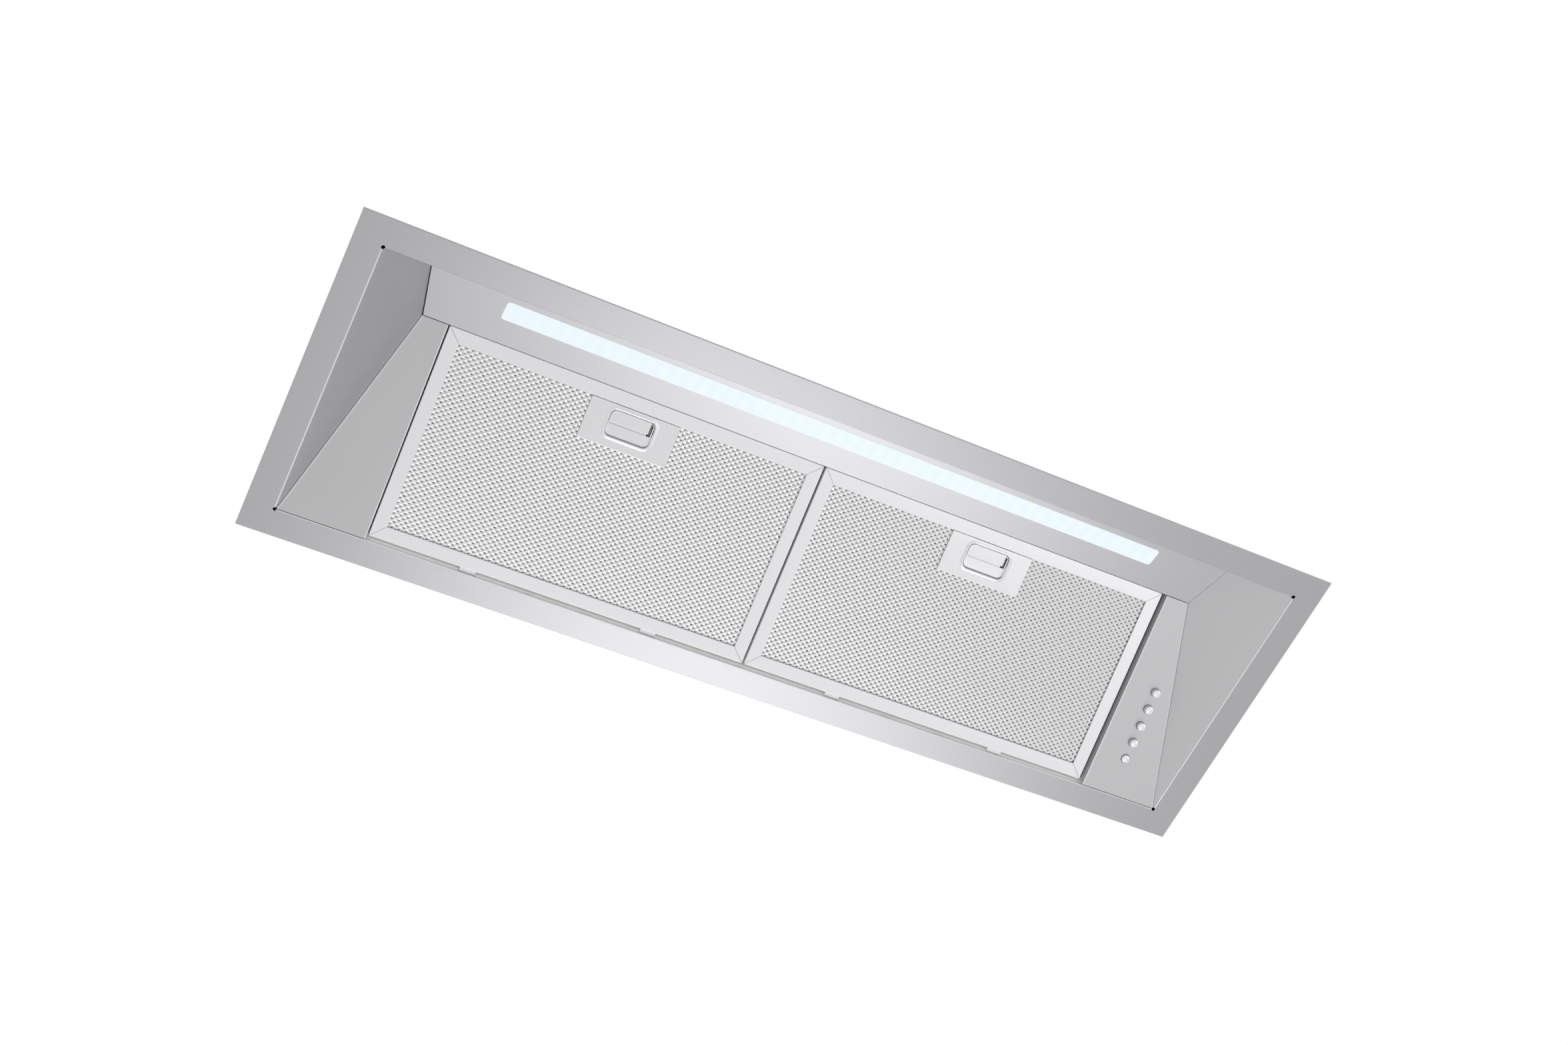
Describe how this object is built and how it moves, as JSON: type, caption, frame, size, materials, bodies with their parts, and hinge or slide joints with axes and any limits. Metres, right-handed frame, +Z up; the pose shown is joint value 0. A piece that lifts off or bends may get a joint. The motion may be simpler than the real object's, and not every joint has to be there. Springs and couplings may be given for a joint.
{
  "type": "range hood insert",
  "caption": "Stainless canopy insert for the underside of a cabinet, with a lit sloping panel, latched mesh grease filters, push buttons, a blower housing and a round duct collar.",
  "frame": {"origin": "centre of the flange's underside", "axes": "+X to the cook's right along the flange, +Y from the cook to the wall, +Z up into the cabinet"},
  "size_m": [0.9, 0.3, 0.2978],
  "materials": {
    "stainless": "fine brushed along the length",
    "galvanised": "galvanised, dull spangle",
    "filter_frame_aluminium": "satin",
    "filter_mesh": "bright expanded mesh",
    "button_chrome": "bright plated plastic",
    "opal_lens": "opal, lit from behind",
    "channel_aluminium": "mill",
    "board_white": "solder mask",
    "led_yellow": "phosphor",
    "black_plastic": "moulded, fine grain",
    "flap_plastic": "moulded",
    "box_plastic": "moulded, fine grain",
    "terminal_plastic": "moulded",
    "motor_paint": "enamel",
    "brass_blades": "plain",
    "spring_steel": "bright",
    "zinc_screws": "zinc plated",
    "rubber": "moulded",
    "cable_grey": "smooth sheath"
  },
  "bodies": {
    "canopy": {"canopy_frame": "stainless", "light_panel": "stainless", "left_wing_panel": "stainless", "right_control_panel": "stainless", "spring_clips": "stainless", "rear_filter_rail": "galvanised", "housing_wrap": "galvanised", "left_end_plate": "galvanised", "right_end_plate": "galvanised", "blower_case": "galvanised", "blower_cover": "galvanised", "switch_bracket": "galvanised", "motor_bracket": "galvanised", "led_diffuser": "opal_lens", "led_channel": "channel_aluminium", "led_board": "board_white", "led_chips": "led_yellow", "switch_block": "black_plastic", "switch_terminals": "brass_blades", "button_springs": "spring_steel", "scroll_left_half": "black_plastic", "scroll_right_half": "black_plastic", "outlet_collar": "black_plastic", "damper_pin": "spring_steel", "motor_case": "motor_paint", "motor_bushes": "rubber", "control_box": "box_plastic", "control_box_lid": "box_plastic", "terminal_block": "terminal_plastic", "run_capacitor": "terminal_plastic", "led_driver": "terminal_plastic", "cable_gland": "black_plastic", "switch_cable": "cable_grey", "led_cable": "cable_grey", "motor_cable": "cable_grey", "sheet_metal_screws": "zinc_screws"},
    "left_filter": {"left_filter_frame": "filter_frame_aluminium", "left_filter_outer_mesh": "filter_mesh", "left_filter_core_mesh": "filter_mesh", "left_filter_back_mesh": "filter_mesh", "left_latch_plate": "stainless", "left_latch_spring": "spring_steel"},
    "right_filter": {"right_filter_frame": "filter_frame_aluminium", "right_filter_outer_mesh": "filter_mesh", "right_filter_core_mesh": "filter_mesh", "right_filter_back_mesh": "filter_mesh", "right_latch_plate": "stainless", "right_latch_spring": "spring_steel"},
    "left_latch": {"left_latch_slider": "stainless"},
    "right_latch": {"right_latch_slider": "stainless"},
    "fan": {"impeller": "black_plastic", "motor_shaft": "spring_steel"},
    "front_flap": {"damper_flap_front": "flap_plastic"},
    "rear_flap": {"damper_flap_rear": "flap_plastic"},
    "key_light": {"button_light": "button_chrome"},
    "key_off": {"button_off": "button_chrome"},
    "key_speed_1": {"button_speed_1": "button_chrome"},
    "key_speed_2": {"button_speed_2": "button_chrome"},
    "key_speed_3": {"button_speed_3": "button_chrome"}
  },
  "joints": [
    {"name": "left_filter_swing", "type": "hinge", "parent": "canopy", "child": "left_filter", "pos_m": [-0.1745, 0.1264, 0.004], "axis": [1, 0, 0], "range_deg": [0, 65]},
    {"name": "left_latch_slide", "type": "slide", "parent": "left_filter", "child": "left_latch", "axis": [0, 0.9601, -0.2795], "range_m": [0, 0.006], "stiffness_N_per_m": 300, "springref_m": -0.003, "deforming": ["left_latch_spring"]},
    {"name": "right_filter_swing", "type": "hinge", "parent": "canopy", "child": "right_filter", "pos_m": [0.1705, 0.1264, 0.004], "axis": [1, 0, 0], "range_deg": [0, 65]},
    {"name": "right_latch_slide", "type": "slide", "parent": "right_filter", "child": "right_latch", "axis": [0, 0.9601, -0.2795], "range_m": [0, 0.006], "stiffness_N_per_m": 300, "springref_m": -0.003, "deforming": ["right_latch_spring"]},
    {"name": "button_light_push", "type": "slide", "parent": "canopy", "child": "key_light", "axis": [0, 0.2795, 0.9601], "range_m": [-0.003, 0], "deforming": ["button_springs"]},
    {"name": "button_off_push", "type": "slide", "parent": "canopy", "child": "key_off", "axis": [0, 0.2795, 0.9601], "range_m": [0, 0.003], "stiffness_N_per_m": 400, "springref_m": -0.002, "deforming": ["button_springs"]},
    {"name": "button_speed_1_push", "type": "slide", "parent": "canopy", "child": "key_speed_1", "axis": [0, 0.2795, 0.9601], "range_m": [0, 0.003], "stiffness_N_per_m": 400, "springref_m": -0.002, "deforming": ["button_springs"]},
    {"name": "button_speed_2_push", "type": "slide", "parent": "canopy", "child": "key_speed_2", "axis": [0, 0.2795, 0.9601], "range_m": [0, 0.003], "stiffness_N_per_m": 400, "springref_m": -0.002, "deforming": ["button_springs"]},
    {"name": "button_speed_3_push", "type": "slide", "parent": "canopy", "child": "key_speed_3", "axis": [0, 0.2795, 0.9601], "range_m": [0, 0.003], "stiffness_N_per_m": 400, "springref_m": -0.002, "deforming": ["button_springs"]},
    {"name": "fan_spin", "type": "hinge", "parent": "canopy", "child": "fan", "pos_m": [0, 0.024, 0.16], "axis": [1, 0, 0], "continuous": true},
    {"name": "front_flap_swing", "type": "hinge", "parent": "canopy", "child": "front_flap", "pos_m": [0, 0.043, 0.256], "axis": [-1, 0, 0], "range_deg": [0, 80]},
    {"name": "rear_flap_swing", "type": "hinge", "parent": "canopy", "child": "rear_flap", "pos_m": [0, 0.043, 0.256], "axis": [1, 0, 0], "range_deg": [0, 80]}
  ]
}
